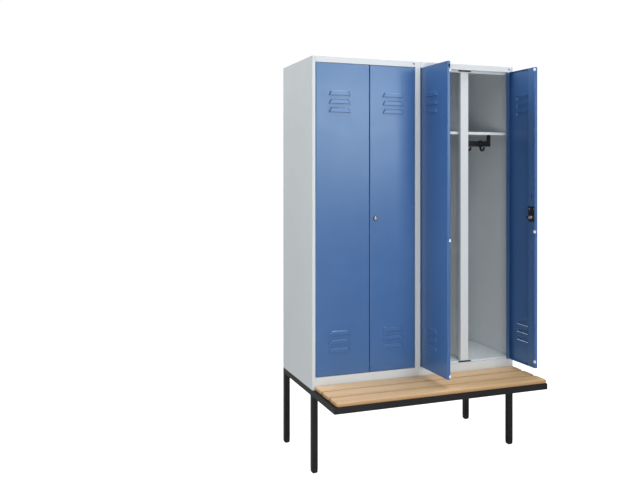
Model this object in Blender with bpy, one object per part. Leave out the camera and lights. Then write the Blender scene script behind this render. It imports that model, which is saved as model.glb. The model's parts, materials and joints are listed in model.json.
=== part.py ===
"""Clean and dirty clothes locker on a bench frame, in metres with +Z up.

The origin is on the floor, at the middle of the footprint. +X is the locker's right and +Y its back.
Two compartments stand side by side, each with a partition behind a centre post and a pair of doors.
"""

import math

import bmesh
import bpy
from mathutils import Vector

# Sheet and clearances
SHEET = 0.001
GAP = 0.0003
OVERRUN = 0.002

# Cabinet
LOCKER_WIDTH = 1.180
CABINET_DEPTH = 0.500
BASE_HEIGHT = 0.420
CABINET_HEIGHT = 1.680
STILE_WIDTH = 0.017
DIVIDER_WIDTH = 0.031
HEAD_HEIGHT = 0.030
SILL_HEIGHT = 0.062
LIP_WIDTH = 0.013
FLOOR_STEP = 0.007
REAR_RETURN = 0.020

# Centre posts
POST_WIDTH = 0.048
POST_RETURN = 0.025
PAD_WIDTH = 0.078
PAD_HEIGHT = 0.007
PAD_THICKNESS = 0.0027
PAD_CLEARANCE = 0.0005

# Hat shelves
HAT_SPACE_HEIGHT = 0.3315
SHELF_SETBACK = 0.005
SHELF_LIP_HEIGHT = 0.015

# Coat rails and their sliding hooks
RAIL_SIDE_CLEARANCE = 0.0215
RAIL_DEPTH_IN = 0.200
RAIL_DROP = 0.042
RAIL_FOOT_LENGTH = 0.033
RAIL_FOOT_HEIGHT = 0.005
RAIL_LEG_WIDTH = 0.0175
BAR_HEIGHT = 0.031
BAR_THICKNESS = 0.014
HOOK_WIDTH = 0.010
HOOK_SLIDE_CLEARANCE = 0.0005
HOOK_RING_WALL = 0.004
HOOK_NECK = 0.001
HOOK_BEND_RADIUS = 0.019
HOOK_THICKNESS = 0.008
HOOK_TIP_RISE = 0.001
HOOK_BEND_STEPS = 8
HOOK_PLACE_SHARES = (-0.87, -0.25, 0.61)

# Doors
MEETING_OFFSET = 0.017
MEETING_GAP = 0.0035
DOOR_CLEARANCE = 0.002
DOOR_THICKNESS = 0.0165
HINGE_HEM = 0.030
FREE_HEM = 0.034
PIVOT_FROM_EDGE = 0.006
PIVOT_FROM_FACE = 0.0045
PIN_RADIUS = 0.0025
PIN_LENGTH = 0.008
PIN_CLEARANCE = 0.0003
PIN_SIDES = 16
DOOR_OPEN_DEGREES = (0.0, 0.0, 89.5, 91.5)

# Louvres
LOUVRE_FROM_REVEAL = 0.130
LOUVRE_WIDTH = 0.122
LOUVRE_TOP_SLANT = 0.012
LOUVRE_LIP_SLANT = 0.005
LOUVRE_HEIGHT = 0.024
LOUVRE_DEPTH = 0.006
LOUVRE_PITCH = 0.043
LOUVRE_COUNT = 3
UPPER_LOUVRE_DROP = 0.193
LOWER_LOUVRE_RISE = 0.172

# Door stiffeners
STIFFENER_WIDTH = 0.027

# Locks
LOCK_HEIGHT = 0.792
LOCK_HEAD_RADIUS = 0.011
LOCK_HEAD_HEIGHT = 0.005
LOCK_HEAD_CHAMFER = 0.001
BARREL_RADIUS = 0.008
BARREL_CLEARANCE = 0.0003
BARREL_PAST_POST = 0.0027
LOCK_CASE_WIDTH = 0.052
LOCK_CASE_ABOVE = 0.057
LOCK_CASE_BELOW = 0.022
LOCK_CASE_FROM_FLANGE = 0.00325
LOCK_CASE_RECESS = 0.0005
LOCK_WINDOW_CLEARANCE = 0.001
CAM_THICKNESS = 0.003
CAM_HUB_RADIUS = 0.008
CAM_TIP_RADIUS = 0.006
CAM_LENGTH = 0.032
CAM_SLOT_CLEARANCE = 0.0015
ROUND_SIDES = 24

# Base frame, feet and bench
TUBE_WIDTH = 0.030
TUBE_WALL = 0.002
BENCH_DEPTH = 0.315
FOOT_HEIGHT = 0.025
FOOT_ROUND = 0.012
FOOT_ROUND_STEPS = 4
FOOT_PLUG_HEIGHT = 0.020
SLAT_COUNT = 3
SLAT_THICKNESS = 0.020
SLAT_SPACING = 0.010
SLAT_ROUND = 0.008
SLAT_ROUND_STEPS = 4
SLAT_CORNER_RADIUS = 0.016
SLAT_CORNER_STEPS = 4
SLAT_FRONT_INSET = 0.001
SLAT_LEFT_INSET = 0.010
SLAT_RIGHT_INSET = 0.0005

# Looks, each a colour, a roughness and a metallic value
SHARP_ANGLE = math.radians(30.0)
LIGHT_GREY_STEEL = ((0.56, 0.58, 0.59), 0.45, 0.0)
BLUE_STEEL = ((0.065, 0.130, 0.310), 0.40, 0.0)
BLACK_STEEL = ((0.022, 0.025, 0.026), 0.45, 0.0)
BLACK_PLASTIC = ((0.012, 0.012, 0.013), 0.50, 0.0)
BEECH = ((0.62, 0.40, 0.21), 0.45, 0.0)
NICKEL = ((0.62, 0.61, 0.60), 0.25, 1.0)
ZINC = ((0.55, 0.46, 0.42), 0.35, 1.0)

# Levels, from the floor up
CABINET_BOTTOM = BASE_HEIGHT + GAP
CABINET_TOP = BASE_HEIGHT + CABINET_HEIGHT
WALL_TOP = CABINET_TOP - SHEET - GAP
LEDGE = CABINET_BOTTOM + SILL_HEIGHT
FLOOR_TOP = LEDGE + FLOOR_STEP
SOFFIT = CABINET_TOP - HEAD_HEIGHT
LIP_BOTTOM = SOFFIT - LIP_WIDTH
SHELF_TOP = SOFFIT - HAT_SPACE_HEIGHT
SHELF_UNDER = SHELF_TOP - SHEET
RAIL_TOP = SHELF_UNDER - GAP
BAR_TOP = SHELF_UNDER - RAIL_DROP
BAR_BOTTOM = BAR_TOP - BAR_HEIGHT
DOOR_BOTTOM = LEDGE + DOOR_CLEARANCE
DOOR_TOP = SOFFIT - DOOR_CLEARANCE
DOOR_HEIGHT = DOOR_TOP - DOOR_BOTTOM
TUBE_BOTTOM = BASE_HEIGHT - TUBE_WIDTH

# Places from front to back
TOTAL_DEPTH = CABINET_DEPTH + BENCH_DEPTH
REAR = TOTAL_DEPTH / 2
FRONT = REAR - CABINET_DEPTH
BENCH_FRONT = -TOTAL_DEPTH / 2
REBATE_DEPTH = DOOR_THICKNESS + PAD_CLEARANCE + PAD_THICKNESS + GAP
LIP_FRONT = FRONT + REBATE_DEPTH
LIP_BACK = LIP_FRONT + SHEET
BACK_PANEL_REAR = REAR - SHEET - GAP
BACK_PANEL_FRONT = BACK_PANEL_REAR - SHEET
WALL_REAR = BACK_PANEL_FRONT - GAP
PIVOT_Y = FRONT + PIVOT_FROM_FACE
SHELF_FRONT = LIP_FRONT + POST_RETURN + SHELF_SETBACK
RAIL_Y = FRONT + RAIL_DEPTH_IN

# Places from left to right
LEFT = -LOCKER_WIDTH / 2
RIGHT = LOCKER_WIDTH / 2
BAYS = ((LEFT + STILE_WIDTH, -DIVIDER_WIDTH / 2), (DIVIDER_WIDTH / 2, RIGHT - STILE_WIDTH))
BAY_CENTRES = tuple((low + high) / 2 for low, high in BAYS)
MEETING_LINES = tuple(centre + MEETING_OFFSET for centre in BAY_CENTRES)
HALVES = (
    (LEFT + SHEET, BAY_CENTRES[0] - SHEET / 2),
    (BAY_CENTRES[0] + SHEET / 2, -SHEET / 2),
    (SHEET / 2, BAY_CENTRES[1] - SHEET / 2),
    (BAY_CENTRES[1] + SHEET / 2, RIGHT - SHEET),
)
HALF_WIDTH = min(high - low for low, high in HALVES)
LOCK_FROM_MEETING = MEETING_GAP / 2 + SHEET + LOCK_CASE_FROM_FLANGE + LOCK_CASE_WIDTH / 2

# A coat rail and its hooks, from the rail's middle and the bar's underside
RAIL_LENGTH = HALF_WIDTH - 2 * RAIL_SIDE_CLEARANCE
HOOK_REACH = RAIL_LENGTH / 2 - RAIL_LEG_WIDTH - HOOK_WIDTH / 2 - HOOK_SLIDE_CLEARANCE
HOOK_PLACES = tuple(share * HOOK_REACH for share in HOOK_PLACE_SHARES)
RING_LOW = -HOOK_SLIDE_CLEARANCE - HOOK_RING_WALL
HOOK_BEND_LEVEL = RING_LOW - HOOK_NECK

# Places within a door, from its pivot
OUTER_FACE = -PIVOT_FROM_FACE
INNER_FACE = OUTER_FACE + SHEET
DOOR_BACK = OUTER_FACE + DOOR_THICKNESS
CASE_BACK = DOOR_BACK - LOCK_CASE_RECESS
POST_BACK = OUTER_FACE + REBATE_DEPTH + SHEET
BARREL_END = POST_BACK + BARREL_PAST_POST
CAM_FRONT = BARREL_END + GAP
CAM_BACK = CAM_FRONT + CAM_THICKNESS


def clear_scene():
    """Removes whatever the file opened with."""
    for thing in list(bpy.data.objects):
        bpy.data.objects.remove(thing)


def make_material(name, colour, roughness, metallic):
    """One Principled material for each kind of finish."""
    material = bpy.data.materials.new(name)
    material.use_nodes = True
    surface = material.node_tree.nodes["Principled BSDF"]
    surface.inputs["Base Color"].default_value = (*colour, 1.0)
    surface.inputs["Roughness"].default_value = roughness
    surface.inputs["Metallic"].default_value = metallic
    return material


def add_loft(shape, sections):
    """Adds one closed body whose walls join sections of equally many points."""
    rings = [[shape.verts.new(point) for point in section] for section in sections]
    for near, far in zip(rings, rings[1:]):
        for i in range(len(near)):
            shape.faces.new((near[i - 1], near[i], far[i], far[i - 1]))
    shape.faces.new(rings[0])
    shape.faces.new(rings[-1])


def place(axis, along, u, v):
    """A point from its place along an axis and its two other coordinates, in X, Y, Z order."""
    point = [u, v]
    point.insert("XYZ".index(axis), along)
    return point


def add_prism(shape, outline, axis, low, high):
    """Adds an outline drawn across an axis and drawn out along it."""
    add_loft(shape, [[place(axis, along, u, v) for u, v in outline] for along in (low, high)])


def add_box(shape, x, y, z):
    """Adds a box from three pairs of low and high places."""
    outline = ((y[0], z[0]), (y[1], z[0]), (y[1], z[1]), (y[0], z[1]))
    add_prism(shape, outline, "X", x[0], x[1])


def circle(u, v, radius, sides):
    """The corners of a round outline."""
    turns = [2 * math.pi * i / sides for i in range(sides)]
    return [(u + radius * math.cos(turn), v + radius * math.sin(turn)) for turn in turns]


def fold(path, side):
    """The outline of a sheet folded along a path; side is 1 for a sheet left of it and -1 for right."""
    points = [Vector(point) for point in path]
    runs = [(b - a).normalized() for a, b in zip(points, points[1:])]
    normals = [Vector((-run.y, run.x)) * side for run in runs]
    inner = []
    for i, point in enumerate(points):
        before = normals[max(i - 1, 0)]
        after = normals[min(i, len(normals) - 1)]
        inner.append(point + (before + after) * SHEET / (1 + before.dot(after)))
    return [tuple(point) for point in points + inner[::-1]]


def new_object(name, shape, material=None, parent=None):
    """Turns a drawn shape into a named object."""
    bmesh.ops.recalc_face_normals(shape, faces=shape.faces)
    mesh = bpy.data.meshes.new(name)
    shape.to_mesh(mesh)
    shape.free()
    return finish(bpy.data.objects.new(name, mesh), material, parent)


def finish(thing, material, parent):
    """Links an object, gives it its material and hangs it on its parent."""
    bpy.context.scene.collection.objects.link(thing)
    if material:
        thing.data.materials.clear()
        thing.data.materials.append(material)
        shade(thing)
    thing.parent = parent
    return thing


def shade(thing):
    """Smooth shading with the folds kept sharp."""
    thing.data.shade_smooth()
    thing.data.set_sharp_from_angle(angle=SHARP_ANGLE)


def combine(body, operation, *shapes):
    """Joins drawn shapes to a body, or cuts them out of it."""
    tools = [new_object(body.name + "_tool", shape) for shape in shapes]
    for tool in tools:
        step = body.modifiers.new(operation.title(), "BOOLEAN")
        step.operation = operation
        step.solver = "EXACT"
        step.object = tool
    bpy.context.view_layer.update()
    graph = bpy.context.evaluated_depsgraph_get()
    mesh = bpy.data.meshes.new_from_object(body.evaluated_get(graph))
    body.modifiers.clear()
    body.data = mesh
    for tool in tools:
        bpy.data.objects.remove(tool)
    shade(body)


def boxes(*spans):
    """A drawn shape of separate boxes."""
    shape = bmesh.new()
    for x, y, z in spans:
        add_box(shape, x, y, z)
    return shape


def pivot_x(door):
    """The hinge line of door 0 to 3, from left to right."""
    low, high = BAYS[door // 2]
    inset = DOOR_CLEARANCE + PIVOT_FROM_EDGE
    return high - inset if door % 2 else low + inset


def side_panel(name, edge, inward, steel):
    """A side wall folded at the front into the stile and its lip, and at the rear into a return."""
    path = (
        (edge + inward * REAR_RETURN, REAR),
        (edge, REAR),
        (edge, FRONT),
        (edge + inward * STILE_WIDTH, FRONT),
        (edge + inward * STILE_WIDTH, LIP_FRONT),
        (edge + inward * (STILE_WIDTH + LIP_WIDTH), LIP_FRONT),
    )
    shape = bmesh.new()
    add_prism(shape, fold(path, inward), "Z", CABINET_BOTTOM, WALL_TOP)
    panel = new_object(name, shape, steel)
    cut_lips(panel, edge + inward * STILE_WIDTH, inward)


def cut_lips(panel, reveal, inward):
    """Shortens a side lip to pass above the floor panel and below the top panel's lip."""
    x = (reveal + inward * GAP, reveal + inward * (LIP_WIDTH + OVERRUN))
    y = (LIP_FRONT - OVERRUN, LIP_BACK + OVERRUN)
    low = (CABINET_BOTTOM - OVERRUN, FLOOR_TOP + GAP)
    high = (LIP_BOTTOM - GAP, WALL_TOP + OVERRUN)
    combine(panel, "DIFFERENCE", boxes((x, y, low), (x, y, high)))


def middle_wall(steel):
    """The wall between the compartments, with the divider stile and its two lips."""
    half = DIVIDER_WIDTH / 2
    right_side = [
        (half, FRONT),
        (half, LIP_FRONT),
        (half + LIP_WIDTH, LIP_FRONT),
        (half + LIP_WIDTH, LIP_BACK),
        (half - SHEET, LIP_BACK),
        (half - SHEET, FRONT + SHEET),
        (SHEET / 2, FRONT + SHEET),
        (SHEET / 2, WALL_REAR),
    ]
    shape = bmesh.new()
    outline = right_side + [(-x, y) for x, y in right_side[::-1]]
    add_prism(shape, outline, "Z", CABINET_BOTTOM, WALL_TOP)
    wall = new_object("middle_wall", shape, steel)
    below_floor = ((-SHEET, SHEET), (LIP_BACK, REAR), (CABINET_BOTTOM - OVERRUN, FLOOR_TOP + GAP))
    combine(wall, "DIFFERENCE", boxes(below_floor))
    cut_lips(wall, half, 1)
    cut_lips(wall, -half, -1)


def front_corners(low, high):
    """Boxes that clear the side stiles and the divider stile from a panel between two levels."""
    y = (FRONT - OVERRUN, LIP_BACK + GAP)
    return (
        ((LEFT - OVERRUN, BAYS[0][0] + GAP), y, (low, high)),
        ((BAYS[0][1] - GAP, BAYS[1][0] + GAP), y, (low, high)),
        ((BAYS[1][1] - GAP, RIGHT + OVERRUN), y, (low, high)),
    )


def pin_holes(level):
    """The four hinge-pin holes through the sheet at a level."""
    shape = bmesh.new()
    for door in range(4):
        outline = circle(pivot_x(door), PIVOT_Y, PIN_RADIUS + PIN_CLEARANCE, PIN_SIDES)
        add_prism(shape, outline, "Z", level - OVERRUN, level + OVERRUN)
    return shape


def floor_panel(steel):
    """The bottom rail, the ledge under the doors and the compartment floor, folded from one sheet."""
    path = (
        (FRONT, CABINET_BOTTOM),
        (FRONT, LEDGE),
        (LIP_FRONT, LEDGE),
        (LIP_FRONT, FLOOR_TOP),
        (WALL_REAR, FLOOR_TOP),
    )
    shape = bmesh.new()
    add_prism(shape, fold(path, -1), "X", LEFT + SHEET + GAP, RIGHT - SHEET - GAP)
    panel = new_object("floor_panel", shape, steel)
    corners = front_corners(CABINET_BOTTOM - OVERRUN, FLOOR_TOP + OVERRUN)
    combine(panel, "DIFFERENCE", boxes(*corners), pin_holes(LEDGE))


def top_panel(steel):
    """The top sheet, with a front rail, soffit and lip folded under it above each pair of doors."""
    path = (
        (REAR, CABINET_TOP),
        (FRONT, CABINET_TOP),
        (FRONT, SOFFIT),
        (LIP_FRONT, SOFFIT),
        (LIP_FRONT, LIP_BOTTOM),
    )
    shape = bmesh.new()
    add_prism(shape, fold(path, 1), "X", LEFT, RIGHT)
    panel = new_object("top_panel", shape, steel)
    corners = front_corners(LIP_BOTTOM - OVERRUN, CABINET_TOP - SHEET)
    notches = []
    for centre in BAY_CENTRES:
        reach = POST_WIDTH / 2 + GAP
        x = (centre - reach, centre + reach)
        notches.append((x, (LIP_FRONT - GAP, LIP_BACK + OVERRUN), (LIP_BOTTOM - OVERRUN, SOFFIT)))
    combine(panel, "DIFFERENCE", boxes(*corners), boxes(*notches), pin_holes(SOFFIT))


def back_panel(steel):
    """The rear sheet, in front of the side panels' returns."""
    x = (LEFT + SHEET + GAP, RIGHT - SHEET - GAP)
    y = (BACK_PANEL_FRONT, BACK_PANEL_REAR)
    new_object("back_panel", boxes((x, y, (CABINET_BOTTOM, WALL_TOP))), steel)


def compartment_middle(number, centre, steel, rubber):
    """A centre post with the cam's slot, the partition behind it, and a stop pad at its head and foot."""
    half = POST_WIDTH / 2
    path = (
        (centre - half, LIP_FRONT + POST_RETURN),
        (centre - half, LIP_FRONT),
        (centre + half, LIP_FRONT),
        (centre + half, LIP_FRONT + POST_RETURN),
    )
    shape = bmesh.new()
    add_prism(shape, fold(path, 1), "Z", FLOOR_TOP + GAP, SOFFIT - GAP)
    post = new_object(f"centre_post_{number}", shape, steel)
    combine(post, "DIFFERENCE", boxes(cam_slot(centre + half)))

    x = (centre - SHEET / 2, centre + SHEET / 2)
    y = (LIP_BACK + GAP, WALL_REAR)
    new_object(f"partition_{number}", boxes((x, y, (FLOOR_TOP + GAP, WALL_TOP))), steel)

    x = (centre - PAD_WIDTH / 2, centre + PAD_WIDTH / 2)
    y = (FRONT + DOOR_THICKNESS + PAD_CLEARANCE, LIP_FRONT - GAP)
    low = LEDGE + GAP
    high = SOFFIT - GAP
    new_object(f"stop_pad_bottom_{number}", boxes((x, y, (low, low + PAD_HEIGHT))), rubber)
    new_object(f"stop_pad_top_{number}", boxes((x, y, (high - PAD_HEIGHT, high))), rubber)


def cam_slot(edge):
    """The slot in a post's right-hand return that the cam sweeps through as it turns level."""
    lock_to_edge = MEETING_OFFSET + LOCK_FROM_MEETING - POST_WIDTH / 2
    entry = math.sqrt(CAM_LENGTH**2 - lock_to_edge**2)
    lock_level = DOOR_BOTTOM + LOCK_HEIGHT
    x = (edge - SHEET - OVERRUN, edge + OVERRUN)
    y = (
        PIVOT_Y + CAM_FRONT - CAM_SLOT_CLEARANCE,
        PIVOT_Y + CAM_BACK + CAM_SLOT_CLEARANCE,
    )
    z = (
        lock_level - CAM_TIP_RADIUS - CAM_SLOT_CLEARANCE,
        lock_level + entry + CAM_TIP_RADIUS + CAM_SLOT_CLEARANCE,
    )
    return x, y, z


def hat_shelf(number, low, high, steel):
    """A shelf between two walls, with a lip folded down at its front."""
    path = (
        (SHELF_FRONT, SHELF_TOP - SHELF_LIP_HEIGHT),
        (SHELF_FRONT, SHELF_TOP),
        (WALL_REAR, SHELF_TOP),
    )
    shape = bmesh.new()
    add_prism(shape, fold(path, -1), "X", low + GAP, high - GAP)
    new_object(f"hat_shelf_{number}", shape, steel)


def coat_rail(number, centre, plastic):
    """A bar on two legs that hang from the shelf by flat feet."""
    right_half = [
        (0, BAR_TOP),
        (RAIL_LENGTH / 2 - RAIL_LEG_WIDTH, BAR_TOP),
        (RAIL_LENGTH / 2 - RAIL_LEG_WIDTH, RAIL_TOP - RAIL_FOOT_HEIGHT),
        (RAIL_LENGTH / 2 - RAIL_FOOT_LENGTH, RAIL_TOP - RAIL_FOOT_HEIGHT),
        (RAIL_LENGTH / 2 - RAIL_FOOT_LENGTH, RAIL_TOP),
        (RAIL_LENGTH / 2, RAIL_TOP),
        (RAIL_LENGTH / 2, BAR_BOTTOM),
    ]
    outline = [(centre + x, z) for x, z in right_half]
    outline += [(centre - x, z) for x, z in right_half[:0:-1]]
    shape = bmesh.new()
    half = BAR_THICKNESS / 2
    add_prism(shape, outline, "Y", RAIL_Y - half, RAIL_Y + half)
    new_object(f"coat_rail_{number}", shape, plastic)


def hook_shape(plastic):
    """One hook, drawn about the bar's underside: a ring on the bar and a bend to the front."""
    half_hole = BAR_THICKNESS / 2 + HOOK_SLIDE_CLEARANCE
    half_ring = half_hole + HOOK_RING_WALL
    ring_high = BAR_HEIGHT + HOOK_SLIDE_CLEARANCE + HOOK_RING_WALL
    outer = HOOK_BEND_RADIUS + HOOK_THICKNESS / 2
    inner = HOOK_BEND_RADIUS - HOOK_THICKNESS / 2
    turns = [math.pi * i / HOOK_BEND_STEPS for i in range(HOOK_BEND_STEPS + 1)]

    def arc(radius):
        return [
            (-HOOK_BEND_RADIUS + radius * math.cos(turn), HOOK_BEND_LEVEL - radius * math.sin(turn))
            for turn in turns
        ]

    tip = HOOK_BEND_LEVEL + HOOK_TIP_RISE
    outline = [(half_ring, RING_LOW), (half_ring, ring_high)]
    outline += [(-half_ring, ring_high), (-half_ring, RING_LOW), (-HOOK_BEND_RADIUS + inner, RING_LOW)]
    outline += arc(inner)
    outline += [(-HOOK_BEND_RADIUS - inner, tip), (-HOOK_BEND_RADIUS - outer, tip)]
    outline += arc(outer)[::-1]
    outline += [(-HOOK_BEND_RADIUS + outer, RING_LOW)]
    shape = bmesh.new()
    add_prism(shape, outline, "X", -HOOK_WIDTH / 2, HOOK_WIDTH / 2)
    hook = new_object("coat_hook", shape, plastic)
    x = (-HOOK_WIDTH / 2 - OVERRUN, HOOK_WIDTH / 2 + OVERRUN)
    z = (-HOOK_SLIDE_CLEARANCE, BAR_HEIGHT + HOOK_SLIDE_CLEARANCE)
    combine(hook, "DIFFERENCE", boxes((x, (-half_hole, half_hole), z)))
    mesh = hook.data
    bpy.data.objects.remove(hook)
    return mesh


def coat_hooks(number, centre, mesh):
    """The hooks on one rail, where they were last slid."""
    for index, offset in enumerate(HOOK_PLACES, start=1):
        hook = bpy.data.objects.new(f"coat_hook_{number}_{index}", mesh)
        hook.location = (centre + offset, RAIL_Y, BAR_BOTTOM)
        bpy.context.scene.collection.objects.link(hook)


def louvre_levels():
    """The undersides of a door's louvres, from the door's bottom edge."""
    group_height = LOUVRE_PITCH * (LOUVRE_COUNT - 1) + LOUVRE_HEIGHT
    centres = (LOWER_LOUVRE_RISE, DOOR_HEIGHT - UPPER_LOUVRE_DROP)
    return [
        centre - group_height / 2 + LOUVRE_PITCH * i for centre in centres for i in range(LOUVRE_COUNT)
    ]


def add_hood(shape, x, low, inset, y_shift, z_shift):
    """A louvre's hood: a wedge that leaves the face at its top and stands out most at its underside."""
    root = INNER_FACE - SHEET / 2 + y_shift
    lip = OUTER_FACE - LOUVRE_DEPTH + y_shift
    low += z_shift
    high = low + LOUVRE_HEIGHT
    bottom = LOUVRE_WIDTH / 2 - inset
    top = bottom - LOUVRE_TOP_SLANT
    edge = bottom - LOUVRE_LIP_SLANT
    left, right = (
        [shape.verts.new(point) for point in ((x + sign * top, root, high),
                                              (x + sign * bottom, root, low),
                                              (x + sign * edge, lip, low))]
        for sign in (-1, 1)
    )
    shape.faces.new(left)
    shape.faces.new(right[::-1])
    for i in range(len(left)):
        shape.faces.new((left[i - 1], left[i], right[i], right[i - 1]))


def door(number, blue, black, nickel, zinc):
    """A pan-shaped door with louvres and pins, hung on its hinge line, its stiffener and any lock."""
    index = number - 1
    hinged_right = index % 2
    side = -1 if hinged_right else 1
    opening = math.radians(DOOR_OPEN_DEGREES[index])
    hinge = bpy.data.objects.new(f"door_{number}_hinge", None)
    hinge.location = (pivot_x(index), PIVOT_Y, DOOR_BOTTOM)
    hinge.rotation_euler.z = -side * opening
    bpy.context.scene.collection.objects.link(hinge)

    meeting = MEETING_LINES[index // 2]
    free = side * (meeting - pivot_x(index)) - MEETING_GAP / 2
    lock_x = side * (meeting + LOCK_FROM_MEETING - pivot_x(index))

    def x(low, high):
        return side * low, side * high

    pan = boxes((x(-PIVOT_FROM_EDGE, free), (OUTER_FACE, DOOR_BACK), (0, DOOR_HEIGHT)))
    leaf = new_object(f"door_{number}", pan, blue)
    combine(leaf, "UNION", hoods_and_pins(side))
    inside = (SHEET, DOOR_HEIGHT - SHEET)
    cavity = (x(-PIVOT_FROM_EDGE + SHEET, free - SHEET), (INNER_FACE, DOOR_BACK - SHEET), inside)
    mouth_x = x(-PIVOT_FROM_EDGE + HINGE_HEM, free - FREE_HEM)
    mouth = (mouth_x, (INNER_FACE + SHEET, DOOR_BACK + OVERRUN), inside)
    combine(leaf, "DIFFERENCE", boxes(cavity), boxes(mouth), hood_hollows(side))
    if hinged_right:
        barrel_hole = bmesh.new()
        outline = circle(side * lock_x, LOCK_HEIGHT, BARREL_RADIUS + BARREL_CLEARANCE, ROUND_SIDES)
        add_prism(barrel_hole, outline, "Y", OUTER_FACE - OVERRUN, INNER_FACE + OVERRUN)
        combine(leaf, "DIFFERENCE", barrel_hole, boxes(lock_window(side, lock_x)))
    leaf.parent = hinge

    stiffener(number, side, free, lock_x if hinged_right else None, blue, hinge)
    if hinged_right:
        lock(number // 2, side, lock_x, hinge, black, nickel, zinc)


def hoods_and_pins(side):
    """The louvre hoods and the two hinge pins, as shapes to join to a door."""
    shape = bmesh.new()
    for low in louvre_levels():
        add_hood(shape, side * louvre_x(), low, 0, 0, 0)
    reach = PIN_LENGTH + DOOR_CLEARANCE
    pin = circle(0, 0, PIN_RADIUS, PIN_SIDES)
    add_prism(shape, pin, "Z", -reach, SHEET / 2)
    add_prism(shape, pin, "Z", DOOR_HEIGHT - SHEET / 2, DOOR_HEIGHT + reach)
    return shape


def hood_hollows(side):
    """The hollows that leave each hood one sheet thick and open below."""
    slant = math.hypot(LOUVRE_HEIGHT, LOUVRE_DEPTH) / LOUVRE_HEIGHT
    shape = bmesh.new()
    for low in louvre_levels():
        add_hood(shape, side * louvre_x(), low, SHEET, SHEET * slant, -GAP)
    return shape


def louvre_x():
    """The louvres' middle, from the hinge line."""
    return LOUVRE_FROM_REVEAL - DOOR_CLEARANCE - PIVOT_FROM_EDGE


def lock_window(side, lock_x):
    """The space that a lock case needs in the door's hem and in the stiffener."""
    reach = LOCK_CASE_WIDTH / 2 + LOCK_WINDOW_CLEARANCE
    x = (side * (lock_x - reach), side * (lock_x + reach))
    y = (INNER_FACE + GAP / 2, DOOR_BACK + OVERRUN)
    z = (
        LOCK_HEIGHT - LOCK_CASE_BELOW - LOCK_WINDOW_CLEARANCE,
        LOCK_HEIGHT + LOCK_CASE_ABOVE + LOCK_WINDOW_CLEARANCE,
    )
    return x, y, z


def stiffener(number, side, free, lock_x, blue, hinge):
    """A channel inside the door beside its free hem, with a window where a lock case sits."""
    outer = side * (free - FREE_HEM - GAP)
    inner = outer - side * STIFFENER_WIDTH
    path = (
        (inner, INNER_FACE + GAP),
        (inner, DOOR_BACK),
        (outer, DOOR_BACK),
        (outer, INNER_FACE + GAP),
    )
    shape = bmesh.new()
    add_prism(shape, fold(path, -side), "Z", SHEET + GAP, DOOR_HEIGHT - SHEET - GAP)
    channel = new_object(f"door_stiffener_{number}", shape, blue)
    if lock_x is not None:
        combine(channel, "DIFFERENCE", boxes(lock_window(side, lock_x)))
    channel.parent = hinge


def lock(number, side, lock_x, hinge, black, nickel, zinc):
    """A lock case in the door, and a cylinder through it with its cam turned to the hinge, unlocked."""
    x = (side * (lock_x - LOCK_CASE_WIDTH / 2), side * (lock_x + LOCK_CASE_WIDTH / 2))
    z = (LOCK_HEIGHT - LOCK_CASE_BELOW, LOCK_HEIGHT + LOCK_CASE_ABOVE)
    case = new_object(f"lock_case_{number}", boxes((x, (INNER_FACE + GAP, CASE_BACK), z)), black)
    bore = bmesh.new()
    outline = circle(side * lock_x, LOCK_HEIGHT, BARREL_RADIUS + BARREL_CLEARANCE, ROUND_SIDES)
    add_prism(bore, outline, "Y", INNER_FACE, CASE_BACK + OVERRUN)
    combine(case, "DIFFERENCE", bore)
    case.parent = hinge

    axis = bpy.data.objects.new(f"lock_{number}_axis", None)
    axis.location = (side * lock_x, 0, LOCK_HEIGHT)
    axis.parent = hinge
    bpy.context.scene.collection.objects.link(axis)

    head = OUTER_FACE - GAP
    steps = (
        (head - LOCK_HEAD_HEIGHT, LOCK_HEAD_RADIUS - LOCK_HEAD_CHAMFER),
        (head - LOCK_HEAD_HEIGHT + LOCK_HEAD_CHAMFER, LOCK_HEAD_RADIUS),
        (head, LOCK_HEAD_RADIUS),
        (head, BARREL_RADIUS),
        (BARREL_END, BARREL_RADIUS),
    )
    sections = [
        [place("Y", along, u, v) for u, v in circle(0, 0, radius, ROUND_SIDES)] for along, radius in steps
    ]
    shape = bmesh.new()
    add_loft(shape, sections)
    new_object(f"lock_cylinder_{number}", shape, nickel, axis)

    tip_u = side * (CAM_TIP_RADIUS - CAM_LENGTH)
    hub = [(u, v) for u, v in circle(0, 0, CAM_HUB_RADIUS, ROUND_SIDES) if side * u >= 0]
    tip = [(u, v) for u, v in circle(tip_u, 0, CAM_TIP_RADIUS, ROUND_SIDES) if side * u <= side * tip_u]
    shape = bmesh.new()
    add_prism(shape, order_around(hub + tip, tip_u / 2, 0), "Y", CAM_FRONT, CAM_BACK)
    new_object(f"lock_cam_{number}", shape, zinc, axis)


def order_around(points, u, v):
    """The corners of a convex outline in order around a point inside it."""
    return sorted(points, key=lambda point: math.atan2(point[1] - v, point[0] - u))


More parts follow.
